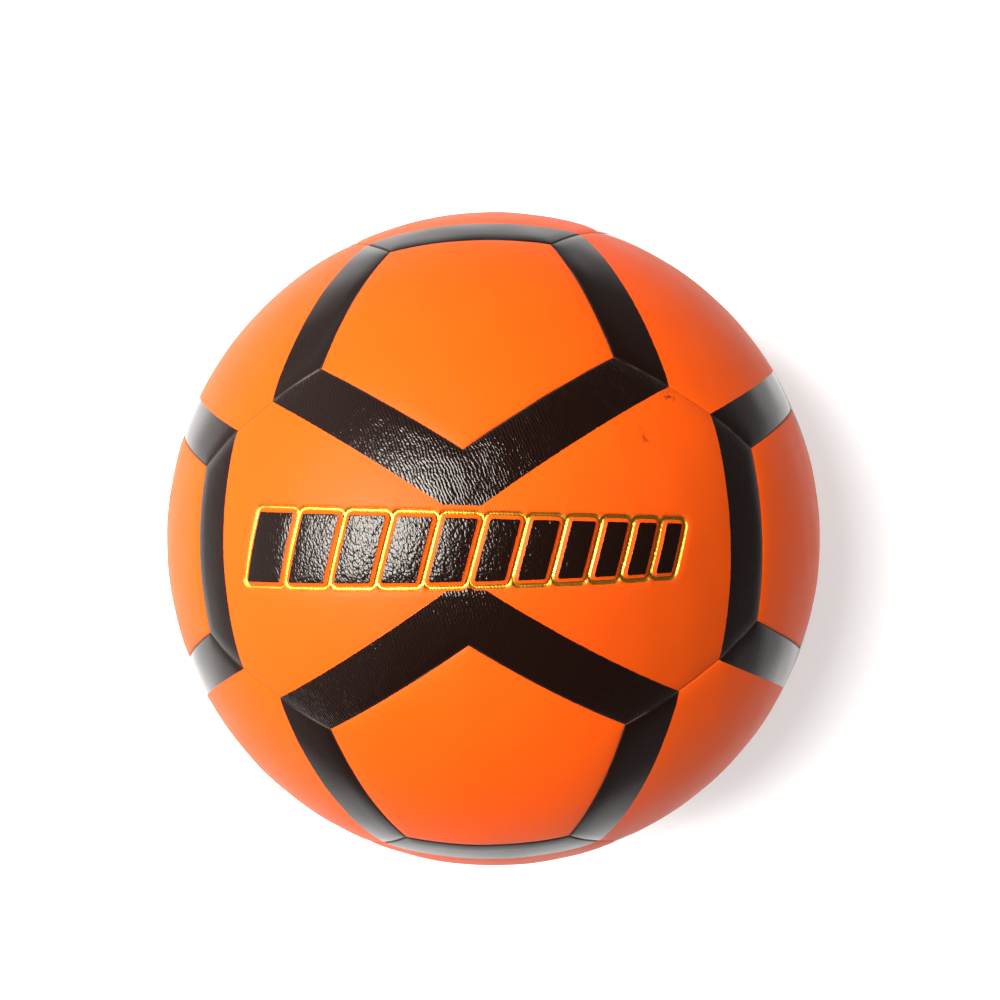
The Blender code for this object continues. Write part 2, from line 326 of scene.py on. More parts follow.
def in_motif_zone(points):
    u, v = motif_place(points)
    left, right, bottom, top = MOTIF_ZONE
    return (u > left) & (u < right) & (v > bottom) & (v < top) & (points[:, 2] > 0.0)


def leaning_bar(left, width):
    """A bar's corners, drawn in by the radius that rounds them."""
    foot = BARS_FOOT + BAR_CORNER

    def side(start):
        head = BARS_HEAD - BAR_CORNER - HEAD_SLOPE * (start - BAR_LEAN * foot)
        head /= 1.0 + HEAD_SLOPE * BAR_LEAN
        return (start, foot), (start + BAR_LEAN * (head - foot), head)

    left_foot, left_head = side(left + BAR_CORNER)
    right_foot, right_head = side(left + width - BAR_CORNER)
    return left_foot, right_foot, right_head, left_head


def distance_to_polygon(u, v, corners):
    """Signed distance to a polygon, negative inside it."""
    squared = np.full(len(u), np.inf)
    inside = np.zeros(len(u), dtype=bool)
    for (u0, v0), (u1, v1) in zip(corners, corners[1:] + corners[:1]):
        along_u, along_v = u1 - u0, v1 - v0
        share = ((u - u0) * along_u + (v - v0) * along_v) / (along_u ** 2 + along_v ** 2)
        share = np.clip(share, 0.0, 1.0)
        squared = np.minimum(squared, (u - u0 - share * along_u) ** 2 + (v - v0 - share * along_v) ** 2)
        crosses = (v0 > v) != (v1 > v)
        with np.errstate(divide="ignore", invalid="ignore"):
            inside ^= crosses & (u < u0 + along_u * (v - v0) / along_v)
    return np.where(inside, -1.0, 1.0) * np.sqrt(squared)


def distance_to_motif(points):
    """Signed distance to the motif's bars, negative inside them."""
    u, v = motif_place(points)
    shapes = []
    left = BARS_START
    for number in range(BAR_COUNT):
        width = BAR_WIDTH * BAR_SHRINK ** number
        shapes.append(leaning_bar(left, width))
        left += width + BAR_GAP
    distance = np.min([distance_to_polygon(u, v, shape) for shape in shapes], axis=0) - BAR_CORNER
    return np.where(points[:, 2] > 0.0, distance, NO_BAND)


# ---------------------------------------------------------------- relief, in millimetres

def smooth(value, start, end):
    """0 before start, 1 after end, and a smooth step between."""
    share = np.clip((value - start) / (end - start), 0.0, 1.0)
    return share * share * (3.0 - 2.0 * share)


def seam_drop(distance):
    """How far the skin sinks at this distance from a seam."""
    valley = VALLEY_DEPTH * np.clip(1.0 - distance / VALLEY_REACH, 0.0, 1.0) ** 2
    crease = CREASE_DEPTH * np.clip(1.0 - distance / CREASE_REACH, 0.0, 1.0) ** 2
    return valley + crease


def motif_relief(distance):
    """Height of the embossed motif: puffed bars, a pressed foil line, a dip all round."""
    wall = smooth(-distance, -PUFF_WALL, 0.0)
    crown = smooth(-distance, 0.0, PUFF_CROWN)
    puff = PUFF_HEIGHT * (PUFF_WALL_SHARE * wall + (1.0 - PUFF_WALL_SHARE) * crown)
    groove = GROOVE_DEPTH * smooth(distance, *GROOVE_RISE) * (1.0 - smooth(distance, *GROOVE_FALL))
    dip = DIP_DEPTH * np.clip(1.0 - (distance - DIP_START) / DIP_REACH, 0.0, 1.0) ** 2
    return puff - groove - dip


def slow_unevenness(points):
    """A padded ball is never quite round: a few slow waves, well under a tenth of a millimetre."""
    total = np.zeros(len(points))
    for number, wave in enumerate(UNEVEN_WAVES):
        total += np.sin(points @ np.array(wave) + 1.7 * number)
    return UNEVENNESS * total


# ---------------------------------------------------------------- closed skins

def rim_points(ways, inward, setback, depth):
    """Points that stand back from their seams, and below the ball's surface."""
    radius = BALL_RADIUS - depth
    sideways = inward * setback
    height = np.sqrt(radius ** 2 - (sideways ** 2).sum(axis=1))
    return ways * height[:, None] + sideways


def directed_rim(faces):
    """The boundary edges of a net, each running the way its face runs."""
    sides = np.concatenate([faces[:, [0, 1]], faces[:, [1, 2]], faces[:, [2, 0]]])
    reverse = {(b, a) for a, b in sides.tolist()}
    return np.array([side for side in sides.tolist() if tuple(side) not in reverse])


def inward_ways(ways, edges):
    """At each rim point the way in; a step along it clears the seams on both sides by that much."""
    normals = unit(np.cross(ways[edges[:, 0]], ways[edges[:, 1]]))
    before, after = np.empty_like(ways), np.empty_like(ways)
    after[edges[:, 0]] = normals
    before[edges[:, 1]] = normals
    return (before + after) / (1.0 + (before * after).sum(axis=1))[:, None]


class Rim:
    """The boundary of a panel's net, part of it on seams and part of it round the valve's hole."""

    def __init__(self, points, faces, hole_radius):
        edges = directed_rim(faces)
        self.verts = np.unique(edges)
        place = {vert: i for i, vert in enumerate(self.verts.tolist())}
        edges = np.vectorize(place.get)(edges)
        self.ways = points[self.verts]
        self.inward = inward_ways(self.ways, edges)
        self.centre = unit(points.mean(axis=0))
        self.at_hole = np.zeros(len(self.verts), dtype=bool)
        if hole_radius is not None:
            self.at_hole = distance_from_way(self.ways, self.centre) < 2.0 * hole_radius
        self.at_seam = ~self.at_hole
        self.hole_edges = edges[self.at_hole[edges[:, 0]]]
        self.seam_edges = edges[self.at_seam[edges[:, 0]]]

    def turns(self):
        """Each point's turn about the middle of the panel."""
        across = unit(np.cross(self.centre, (0.0, 0.0, 1.0)))
        return np.arctan2(self.ways @ np.cross(self.centre, across), self.ways @ across)


def flange_rings(rim):
    """The flange's outer foot, its inner foot and the corner where it meets the underside."""
    outer = SEAM_GAP / 2.0
    inner = outer + FLANGE_THICKNESS
    rings = []
    for setback, depth in ((outer, FLANGE_DEPTH), (inner, FLANGE_DEPTH), (inner, SKIN_THICKNESS)):
        ring = rim_points(rim.ways, rim.inward, setback, depth)
        ring[rim.at_hole] = rim.ways[rim.at_hole] * (BALL_RADIUS - min(depth, SKIN_THICKNESS))
        rings.append(ring)
    return rings


def underside_rings(rim, corner, hole_radius):
    """Rings from the flange's corner towards the middle of the underside, or its hole."""
    target = np.repeat(rim.centre[None, :], len(rim.verts), axis=0)
    if hole_radius is not None:
        sideways = unit(rim.ways - rim.centre * (rim.ways @ rim.centre)[:, None])
        target = unit(rim.centre + sideways * math.tan(hole_radius / BALL_RADIUS))
    rings = []
    for number in range(1, UNDERSIDE_RINGS):
        share = number / UNDERSIDE_RINGS
        ring = unit(unit(corner) * (1.0 - share) + target * share) * (BALL_RADIUS - SKIN_THICKNESS)
        ring[rim.at_hole] = corner[rim.at_hole]
        rings.append(ring)
    return rings


def band_between(upper, lower, edges):
    """Two triangles for each rim edge, between one ring of vertices and the next."""
    start, end = edges.T
    first = np.stack([upper[end], upper[start], lower[start]], axis=1)
    second = np.stack([upper[end], lower[start], lower[end]], axis=1)
    return np.concatenate([first, second])


def ring_by_turn(ring, turns):
    """A ring's vertices in the order of their turns, with the first one again at the end."""
    order = np.argsort(turns)
    order = np.append(order, order[0])
    turns = turns[order]
    turns[-1] += 2.0 * math.pi
    return ring[order], turns


def stitch_rings(outer, outer_turns, inner, inner_turns):
    """Triangles that face the ball's centre, between two rings with different numbers of vertices."""
    outer, outer_turns = ring_by_turn(outer, outer_turns)
    inner, inner_turns = ring_by_turn(inner, inner_turns)
    outer_next = np.append(outer_turns[1:], math.inf)
    inner_next = np.append(inner_turns[1:], math.inf)
    faces, i, j = [], 0, 0
    while i < len(outer) - 1 or j < len(inner) - 1:
        if outer_next[i] <= inner_next[j]:
            faces.append((outer[i + 1], outer[i], inner[j]))
            i += 1
        else:
            faces.append((outer[i], inner[j], inner[j + 1]))
            j += 1
    return np.array(faces)


def closed_skin(points, faces, height, hole_radius=None):
    """Close a panel's net with a flange and an underside. Returns points in mm, faces and ways."""
    rim = Rim(points, faces, hole_radius)
    skin = points * (BALL_RADIUS + height)[:, None]
    skin[rim.verts[rim.at_seam]] = rim_points(
        rim.ways[rim.at_seam], rim.inward[rim.at_seam], SEAM_GAP / 2.0, VALLEY_DEPTH + CREASE_DEPTH)
    rings = flange_rings(rim)
    rings += underside_rings(rim, rings[-1], hole_radius)

    all_faces = [faces]
    rows = [rim.verts]
    for number in range(len(rings)):
        rows.append(len(skin) + number * len(rim.verts) + np.arange(len(rim.verts)))
        all_faces.append(band_between(rows[-2], rows[-1], rim.seam_edges))
    all_points = [skin] + rings
    all_ways = [points] + [rim.ways] * len(rings)
    if hole_radius is None:
        middle = len(skin) + len(rings) * len(rim.verts)
        start, end = rim.seam_edges.T
        all_faces.append(np.stack([rows[-1][end], rows[-1][start], np.full(len(start), middle)], axis=1))
        all_points.append(rim.centre[None, :] * (BALL_RADIUS - SKIN_THICKNESS))
        all_ways.append(rim.centre[None, :])
    else:
        turns = rim.turns()
        all_faces.append(band_between(rows[0], rows[1], rim.hole_edges))
        all_faces.append(stitch_rings(rows[-1][rim.at_seam], turns[rim.at_seam],
                                      rows[1][rim.at_hole], turns[rim.at_hole]))
    return np.concatenate(all_points), np.concatenate(all_faces), np.concatenate(all_ways)


def sheet_place(ways, centre, turn):
    """Where each point lies on the flat sheet that the panel was cut from, in millimetres."""
    across = unit(np.cross((0.0, 1.0, 0.001), centre))
    up = np.cross(centre, across)
    x, y, z = ways @ across, ways @ up, ways @ centre
    reach = BALL_RADIUS * np.arccos(np.clip(z, -1.0, 1.0)) / np.maximum(np.hypot(x, y), 1e-6)
    cos, sin = math.cos(turn), math.sin(turn)
    return np.stack([reach * (x * cos - y * sin), reach * (x * sin + y * cos)], axis=1)


def panel_attributes(ways, facets, turn):
    """What the print and the grain need to know at each vertex."""
    centre = unit(sum(facet.middle for facet in facets))
    sheet = sheet_place(ways, centre, turn)
    return {"band": distance_to_bands(ways, facets), "seam": distance_to_seams(ways, facets),
            "sheet_x": sheet[:, 0], "sheet_y": sheet[:, 1]}


def make_mesh_object(name, points, faces, attributes, material, sharp_angle=40.0):
    """Points in millimetres and triangles to a smooth-shaded object, with float attributes."""
    mesh = bpy.data.meshes.new(name)
    mesh.vertices.add(len(points))
    mesh.vertices.foreach_set("co", (points * MM).ravel())
    mesh.loops.add(faces.size)
    mesh.loops.foreach_set("vertex_index", faces.ravel())
    mesh.polygons.add(len(faces))
    mesh.polygons.foreach_set("loop_start", np.arange(0, faces.size, 3))
    mesh.update(calc_edges=True)
    for attribute_name, values in attributes.items():
        attribute = mesh.attributes.new(attribute_name, "FLOAT", "POINT")
        attribute.data.foreach_set("value", values)
    mesh.materials.append(material)
    remove_loose(mesh)
    mesh.shade_smooth()
    mesh.set_sharp_from_angle(angle=math.radians(sharp_angle))
    obj = bpy.data.objects.new(name, mesh)
    bpy.context.collection.objects.link(obj)
    return obj


def remove_loose(mesh):
    """Drop the vertices that no face uses."""
    bm = bmesh.new()
    bm.from_mesh(mesh)
    loose = [vert for vert in bm.verts if not vert.link_faces]
    bmesh.ops.delete(bm, geom=loose, context="VERTS")
    bm.to_mesh(mesh)
    bm.free()


def make_panel(node, facets, material, turn):
    """A plain panel's skin, which stands for the CAD node."""
    points, faces = panel_net(facets, **PANEL_NET)
    height = slow_unevenness(points) - seam_drop(distance_to_seams(points, facets))
    skin, faces, ways = closed_skin(points, faces, height)
    attributes = panel_attributes(ways, facets, turn)
    return make_mesh_object(node + "_skin", skin, faces, attributes, material)


def make_emblem_panel(node, facets, material):
    """The panel with the embossed motif, on a net that is finer under the motif."""
    points, faces = panel_net(facets, **EMBLEM_NET)
    points, faces = refine(points, faces, in_motif_zone)
    motif = distance_to_motif(points)
    height = slow_unevenness(points) - seam_drop(distance_to_seams(points, facets))
    height += motif_relief(motif)
    skin, faces, ways = closed_skin(points, faces, height)
    motif = distance_to_motif(ways)
    _, v = motif_place(ways)
    clear = np.where(v > 0.0, MOTIF_CLEAR_ABOVE, MOTIF_CLEAR)
    attributes = panel_attributes(ways, facets, turn=0.0)
    attributes["band"] = np.maximum(attributes["band"], clear - motif)
    attributes["motif"] = motif
    return make_mesh_object(node + "_skin", skin, faces, attributes, material)


def cut_hole(points, faces, way, radius):
    """Take a round hole out of a net, and draw the net's edge there onto the circle."""
    middles = unit(points[faces].mean(axis=1))
    faces = faces[distance_from_way(middles, way) > radius]
    used, faces = np.unique(faces, return_inverse=True)
    points, faces = points[used], faces.reshape(-1, 3)
    edge = np.unique(directed_rim(faces))
    edge = edge[distance_from_way(points[edge], way) < 2.0 * radius]
    sideways = unit(points[edge] - way * (points[edge] @ way)[:, None])
    points[edge] = unit(way + sideways * math.tan(radius / BALL_RADIUS))
    return points, faces


def make_valve_panel(node, facets, material, valve_way, turn):
    """The panel with the valve's hole, whose edge rolls down to the stem."""
    points, faces = panel_net(facets, **VALVE_NET)

    def near_valve(points):
        return distance_from_way(points, valve_way) < VALVE_ZONE_RADIUS

    points, faces = refine(points, faces, near_valve)
    points, faces = refine(points, faces, near_valve)
    points, faces = cut_hole(points, faces, valve_way, VALVE_HOLE_RADIUS)
    past_edge = distance_from_way(points, valve_way) - VALVE_HOLE_RADIUS
    roll = VALVE_HOLE_DROP * np.clip(1.0 - past_edge / VALVE_HOLE_ROLL, 0.0, 1.0) ** 2
    height = slow_unevenness(points) - seam_drop(distance_to_seams(points, facets)) - roll
    skin, faces, ways = closed_skin(points, faces, height, VALVE_HOLE_RADIUS)
    attributes = panel_attributes(ways, facets, turn)
    return make_mesh_object(node + "_skin", skin, faces, attributes, material)


# ---------------------------------------------------------------- shader helpers

def add(tree, kind, inputs=None, **settings):
    """Add a node; its inputs take plain values or other nodes' outputs."""
    node = tree.nodes.new(kind)
    for name, value in settings.items():
        setattr(node, name, value)
    for name, value in (inputs or {}).items():
        if isinstance(value, bpy.types.NodeSocket):
            tree.links.new(value, node.inputs[name])
        else:
            node.inputs[name].default_value = value
    return node


def calc(tree, operation, first, second=0.0):
    return add(tree, "ShaderNodeMath", {0: first, 1: second}, operation=operation).outputs[0]


def blend_colors(tree, factor, first, second):
    node = add(tree, "ShaderNodeMix", {0: factor, 6: first, 7: second}, data_type="RGBA")
    return node.outputs[2]


def blend_values(tree, factor, first, second):
    return add(tree, "ShaderNodeMix", {0: factor, 2: first, 3: second}).outputs[0]


def step_between(tree, value, start, end):
    """0 before start and 1 after end."""
    inputs = {"Value": value, "From Min": start, "From Max": end}
    return add(tree, "ShaderNodeMapRange", inputs).outputs["Result"]


def attribute(tree, name):
    return add(tree, "ShaderNodeAttribute", attribute_name=name).outputs["Fac"]


def noise(tree, coordinates, scale, detail=2.0, roughness=0.5):
    inputs = {"Vector": coordinates, "Scale": scale, "Detail": detail, "Roughness": roughness}
    return add(tree, "ShaderNodeTexNoise", inputs)


def new_material(name):
    material = bpy.data.materials.new(name)
    material.use_nodes = True
    tree = material.node_tree
    shader = tree.nodes["Principled BSDF"]
    place = add(tree, "ShaderNodeTexCoord").outputs["Object"]
    return material, tree, shader, place


def sheet_vector(tree, sheet, turn, pitch_x, pitch_y):
    """The sheet's coordinates turned, and measured in grains."""
    inputs = {"Vector": sheet, "Rotation": (0.0, 0.0, math.radians(turn)),
              "Scale": (pitch_x, pitch_y, 1.0)}
    return add(tree, "ShaderNodeMapping", inputs, vector_type="TEXTURE").outputs["Vector"]


def pebbles(tree, grains):
    """Rounded pebbles, one to a unit, 0 in the valleys and 1 on top."""
    wander = noise(tree, grains, 0.7, 2.0).outputs["Color"]
    offset = add(tree, "ShaderNodeVectorMath", {0: wander, 1: (0.5, 0.5, 0.5)}, operation="SUBTRACT")
    bent = add(tree, "ShaderNodeVectorMath", {0: offset.outputs[0], 1: grains}, operation="ADD")
    cells = add(tree, "ShaderNodeTexVoronoi", {"Vector": bent.outputs[0], "Scale": 1.0})
    return calc(tree, "SUBTRACT", 1.0, calc(tree, "POWER", cells.outputs["Distance"], 2.0))


def ridged_grain(tree, sheet, pitch, turn):
    """Wavy broken ridges across the direction turn, mixed with long pebbles."""
    grains = sheet_vector(tree, sheet, turn, pitch, pitch)
    bend = calc(tree, "MULTIPLY", noise(tree, grains, 0.16, 1.0).outputs["Fac"], 2.6)
    crinkle = calc(tree, "MULTIPLY", noise(tree, grains, 0.9, 1.0).outputs["Fac"], 0.9)
    waver = calc(tree, "ADD", bend, crinkle)
    across = add(tree, "ShaderNodeSeparateXYZ", {0: grains}).outputs["X"]
    phase = calc(tree, "MULTIPLY", calc(tree, "ADD", across, waver), 2.0 * math.pi)
    ridges = calc(tree, "MULTIPLY", calc(tree, "COSINE", phase), 0.5)
    long_grains = sheet_vector(tree, sheet, turn, pitch, 2.0 * pitch)
    breaks = step_between(tree, noise(tree, long_grains, 1.1, 1.0).outputs["Fac"], 0.35, 0.65)
    broken = calc(tree, "MULTIPLY", ridges, blend_values(tree, breaks, 0.6, 1.0))
    return calc(tree, "ADD", broken, calc(tree, "MULTIPLY", pebbles(tree, long_grains), 0.45))


# ---------------------------------------------------------------- materials

ORANGE = (0.86, 0.094, 0.0045, 1.0)
ORANGE_DEEP = (0.82, 0.082, 0.0035, 1.0)
ORANGE_PAINTED_SHADE = (0.645, 0.068, 0.0032, 1.0)   # painted shade: the emblem panel's orange darkens towards its lower right end, standing in for light falling off there
PAINTED_SHADE_WAY = (0.6, -0.8, 0.0)
PAINTED_SHADE_REACH = 0.034
PRINT_BLACK = (0.0085, 0.0030, 0.0017, 1.0)
GOLD = (0.64, 0.370, 0.050, 1.0)
GOLD_WORN = (0.33, 0.134, 0.014, 1.0)
GRIME = (0.30, 0.035, 0.004, 1.0)
# rubbed-off print and painted highlight: a pale line along the black seams
BARE_EDGE_AND_GLINT = (0.110, 0.060, 0.040, 1.0)
GRAIN_TURN = 22.0
GRAIN_PITCH = 0.75               # millimetres
GRAIN_HEIGHT = 0.012
EMBLEM_GRAIN_HEIGHT = 0.066      # in the middle of the emblem panel
DEEP_GRAIN_ENDS = (38.0, 62.0)
BLACK_INDEX = 1.22               # the coats' indices of refraction
ORANGE_INDEX = 1.12
ORANGE_ROUGH = (0.40, 0.50)
BLACK_ROUGH = (0.15, 0.20)
FOIL_ROUGH = (0.46, 0.30)        # where it is worn, and where it is whole
CREASE_ROUGH = 0.6
CREASE_ROUGH_ENDS = (0.7, 0.2)   # millimetres from the seam, as are the next two
GRIME_ENDS = (0.3, 0.03)
BARE_AND_GLINT_ENDS = (0.16, 0.06)
GRIME_SHARE = 0.15
PRINT_WANDER = 0.30              # how far the print's edge wanders, in millimetres
BAND_SOFTNESS = 0.06
FILL_SOFTNESS = 0.05
FOIL_SOFTNESS = 0.05
ORANGE_EMBLEM_GRAIN = 0.3        # shares of the grain's height
FOIL_GRAIN = 0.4
FINE_GRAIN = 0.15
FILL_PEBBLES = (0.6, 0.9)        # millimetres
FILL_PEBBLE_HEIGHT = 1.7
DIRT = (0.035, 0.014, 0.007, 1.0)
DIRT_SPOTS = (((0.0490, 0.0347, 0.0920), 2.2, 0.9), ((0.0413, 0.0262, 0.0984), 1.5, 0.5),
              ((0.0421, 0.0238, 0.0986), 1.7, 0.6))


def dirt(tree, place):
    """A few scuffs and specks of dirt, as a share of 0 to 1."""
    flecks = noise(tree, place, 1100.0, 3.0).outputs["Fac"]
    total = 0.0
    for spot, radius, strength in DIRT_SPOTS:
        away = add(tree, "ShaderNodeVectorMath", {0: place, 1: spot}, operation="DISTANCE")
        near = step_between(tree, away.outputs["Value"], radius * MM, 0.2 * radius * MM)
        total = calc(tree, "ADD", total, calc(tree, "MULTIPLY", near, strength))
    return calc(tree, "MULTIPLY", total, step_between(tree, flecks, 0.42, 0.60))


def orange_color(tree, place, seam, with_motif):
    """Orange that varies slowly, a little dirty along the seams, with painted shade towards the emblem
    panel's lower right end.
    """
    slow = noise(tree, place, 28.0, 3.0).outputs["Fac"]
    orange = blend_colors(tree, slow, ORANGE_DEEP, ORANGE)
    if with_motif:
        # painted shade: darker orange towards the lower right of the emblem panel
        along = add(tree, "ShaderNodeVectorMath", {0: place, 1: PAINTED_SHADE_WAY}, operation="DOT_PRODUCT")
        painted_shade = step_between(tree, along.outputs["Value"], 0.0, PAINTED_SHADE_REACH)
        orange = blend_colors(tree, painted_shade, orange, ORANGE_PAINTED_SHADE)
    near_seam = calc(tree, "MULTIPLY", step_between(tree, seam, *GRIME_ENDS), GRIME_SHARE)
    return blend_colors(tree, near_seam, orange, GRIME)


def print_color(tree, place, seam):
    """Black print, rubbed off here and there along the seams; its pale seam line is partly a painted
    highlight of the seam's shoulder.
    """
    breaks = step_between(tree, noise(tree, place, 120.0, 2.0).outputs["Fac"], 0.40, 0.62)
    bare_and_glint = calc(tree, "MULTIPLY", step_between(tree, seam, *BARE_AND_GLINT_ENDS), breaks)
    return blend_colors(tree, bare_and_glint, PRINT_BLACK, BARE_EDGE_AND_GLINT)


def coat_roughness(tree, place, seam, black):
    """Satin orange and glossy black, both rough in the creases of the seams."""
    patchy = noise(tree, place, 60.0, 2.0).outputs["Fac"]
    orange_rough = blend_values(tree, patchy, *ORANGE_ROUGH)
    black_rough = blend_values(tree, patchy, *BLACK_ROUGH)
    roughness = blend_values(tree, black, orange_rough, black_rough)
    in_crease = step_between(tree, seam, *CREASE_ROUGH_ENDS)
    return blend_values(tree, in_crease, roughness, CREASE_ROUGH)


def gold_foil(tree, sheet, motif):
    """The foil line round the bars: where it is, its colour and its roughness."""
    inner = step_between(tree, motif, GOLD_START - FOIL_SOFTNESS, GOLD_START + FOIL_SOFTNESS)
    outer = step_between(tree, motif, GOLD_END + FOIL_SOFTNESS, GOLD_END - FOIL_SOFTNESS)
    crackle = step_between(tree, noise(tree, sheet, 3.0, 3.0).outputs["Fac"], 0.42, 0.58)
    rubbed = step_between(tree, noise(tree, sheet, 0.35, 2.0).outputs["Fac"], 0.38, 0.58)
    whole = calc(tree, "MULTIPLY", crackle, blend_values(tree, rubbed, 0.4, 1.0))
    color = blend_colors(tree, whole, GOLD_WORN, GOLD)
    return calc(tree, "MULTIPLY", inner, outer), color, blend_values(tree, whole, *FOIL_ROUGH)


def fill_pebbles(tree, sheet):
    """The finer and higher grain of the motif's fills."""
    finer = pebbles(tree, sheet_vector(tree, sheet, GRAIN_TURN, *FILL_PEBBLES))
    return calc(tree, "MULTIPLY", finer, FILL_PEBBLE_HEIGHT)


def grain_bump(tree, sheet, grain, strength, with_motif):
    """The grain as bump, deep in the middle of the emblem panel and shallow elsewhere."""
    fine = noise(tree, sheet, 3.5, 2.0).outputs["Fac"]
    height = calc(tree, "ADD", grain, calc(tree, "MULTIPLY", fine, FINE_GRAIN))
    height = calc(tree, "MULTIPLY", height, strength)
    depth = GRAIN_HEIGHT
    if with_motif:
        depth = EMBLEM_GRAIN_HEIGHT
        from_middle = calc(tree, "ABSOLUTE", attribute(tree, "sheet_x"))
        outer = step_between(tree, from_middle, *DEEP_GRAIN_ENDS)
        fade = blend_values(tree, outer, 1.0, GRAIN_HEIGHT / EMBLEM_GRAIN_HEIGHT)
        height = calc(tree, "MULTIPLY", height, fade)
    return add(tree, "ShaderNodeBump", {"Height": height, "Distance": depth * MM, "Strength": 1.0})


def leather_material(name, with_motif):
    """Orange synthetic leather with glossy black print, and foil where there is a motif."""
    material, tree, shader, place = new_material(name)
    sheet_inputs = {"X": attribute(tree, "sheet_x"), "Y": attribute(tree, "sheet_y")}
    sheet = add(tree, "ShaderNodeCombineXYZ", sheet_inputs).outputs["Vector"]
    seam = attribute(tree, "seam")
    wander = calc(tree, "SUBTRACT", noise(tree, sheet, 0.9, 3.0).outputs["Fac"], 0.5)
    wander = calc(tree, "MULTIPLY", wander, PRINT_WANDER)
    band = calc(tree, "ADD", attribute(tree, "band"), wander)
    black = step_between(tree, band, BAND_SOFTNESS, -BAND_SOFTNESS)
    grain = ridged_grain(tree, sheet, GRAIN_PITCH, GRAIN_TURN)
    if with_motif:
        motif = attribute(tree, "motif")
        past_fill = calc(tree, "ADD", motif, wander)
        fill = step_between(tree, past_fill, FILL_SOFTNESS, -FILL_SOFTNESS)
        black = calc(tree, "MAXIMUM", black, fill)
        grain = blend_values(tree, fill, grain, fill_pebbles(tree, sheet))

    orange = orange_color(tree, place, seam, with_motif)
    color = blend_colors(tree, black, orange, print_color(tree, place, seam))
    color = blend_colors(tree, dirt(tree, place), color, DIRT)
    roughness = coat_roughness(tree, place, seam, black)
    strength = blend_values(tree, black, ORANGE_EMBLEM_GRAIN if with_motif else 1.0, 1.0)
    metallic = 0.0
    if with_motif:
        metallic, foil, foil_rough = gold_foil(tree, sheet, motif)
        color = blend_colors(tree, metallic, color, foil)
        roughness = blend_values(tree, metallic, roughness, foil_rough)
        strength = blend_values(tree, metallic, strength, FOIL_GRAIN)

    bump = grain_bump(tree, sheet, grain, strength, with_motif)
    set_shader(tree, shader, color, roughness, bump, metallic)
    index = blend_values(tree, black, ORANGE_INDEX, BLACK_INDEX)
    tree.links.new(index, shader.inputs["IOR"])
    return material


def set_shader(tree, shader, color, roughness, bump, metallic=0.0):
    values = {"Base Color": color, "Roughness": roughness, "Metallic": metallic,
              "Normal": bump.outputs["Normal"]}
    for name, value in values.items():
        if isinstance(value, bpy.types.NodeSocket):
            tree.links.new(value, shader.inputs[name])
        else:
            shader.inputs[name].default_value = value


def rubber_material(name, dark, light, rough):
    """Moulded rubber: dark, slightly dusty, with a fine matte skin."""
    material, tree, shader, place = new_material(name)
    dust = noise(tree, place, 180.0, 4.0).outputs["Fac"]
    color = blend_colors(tree, dust, dark, light)
    fine = noise(tree, place, 3500.0, 2.0).outputs["Fac"]
    roughness = blend_values(tree, dust, rough - 0.08, rough + 0.08)
    bump = add(tree, "ShaderNodeBump", {"Height": fine, "Distance": 0.03 * MM, "Strength": 0.6})
    set_shader(tree, shader, color, roughness, bump)
    return material


def woven_material(name, dark, light, thread_pitch, rough):
    """Plain weave: warp and weft waves over and under each other."""
    material, tree, shader, place = new_material(name)
    scale = add(tree, "ShaderNodeVectorMath", {0: place, "Scale": math.pi / (thread_pitch * MM)},
                operation="SCALE")
    split = add(tree, "ShaderNodeSeparateXYZ", {0: scale.outputs[0]})
    warp = calc(tree, "ABSOLUTE", calc(tree, "SINE", split.outputs[0]))
    across = calc(tree, "ADD", split.outputs[1], split.outputs[2])
    weft = calc(tree, "ABSOLUTE", calc(tree, "SINE", across))
    weave = calc(tree, "MAXIMUM", warp, weft)
    color = blend_colors(tree, weave, dark, light)
    bump = add(tree, "ShaderNodeBump", {"Height": weave, "Distance": 0.1 * MM, "Strength": 0.8})
    set_shader(tree, shader, color, rough, bump)
    return material


LINING = ((0.46, 0.44, 0.38, 1.0), (0.74, 0.71, 0.63, 1.0))      # dark and light
THREAD = ((0.10, 0.04, 0.02, 1.0), (0.32, 0.13, 0.06, 1.0))
BUTYL = ((0.016, 0.016, 0.017, 1.0), (0.035, 0.034, 0.033, 1.0))
PATCH = ((0.030, 0.028, 0.026, 1.0), (0.055, 0.052, 0.048, 1.0))
VALVE = ((0.010, 0.010, 0.010, 1.0), (0.022, 0.021, 0.020, 1.0))


# ---------------------------------------------------------------- pieces

def make_cover():
    pentagons, hexagons = ball_facets()
    plain = leather_material("panel_print", with_motif=False)
    printed = leather_material("emblem_print", with_motif=True)
    valve_way = np.array((0.0, 1.0, 0.0))
    turns = random.Random(7)
    for node in sorted(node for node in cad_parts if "_panel" in node):
        facets = facets_of(node, pentagons, hexagons)
        turn = turns.uniform(0.0, math.pi)
        if node == "emblem_panel":
            piece = make_emblem_panel(node, facets, printed)
        elif node == "valve_panel":
            piece = make_valve_panel(node, facets, plain, valve_way, turn)
        else:
            piece = make_panel(node, facets, plain, turn)
        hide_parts(node)
        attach(piece, "root")


def finish_inner_nodes():
    """Give the pieces inside the cover their own materials; their CAD shapes stay."""
    cloth = woven_material("lining_weave", *LINING, thread_pitch=0.9, rough=0.9)
    thread = woven_material("waxed_thread", *THREAD, thread_pitch=0.5, rough=0.7)
    butyl = rubber_material("bladder_butyl", *BUTYL, rough=0.5)
    patch = rubber_material("patch_rubber", *PATCH, rough=0.7)
    valve = rubber_material("valve_rubber", *VALVE, rough=0.45)
    finishes = {"seam_thread": thread, "bladder": butyl, "valve_patch": patch,
                "balance_patch": patch, "valve_housing": valve, "valve_core": valve}
    for node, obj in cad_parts.items():
        material = cloth if "lining" in node else finishes.get(node)
        if material:
            obj.data.materials.clear()
            obj.data.materials.append(material)


# ---------------------------------------------------------------- stage, light and camera

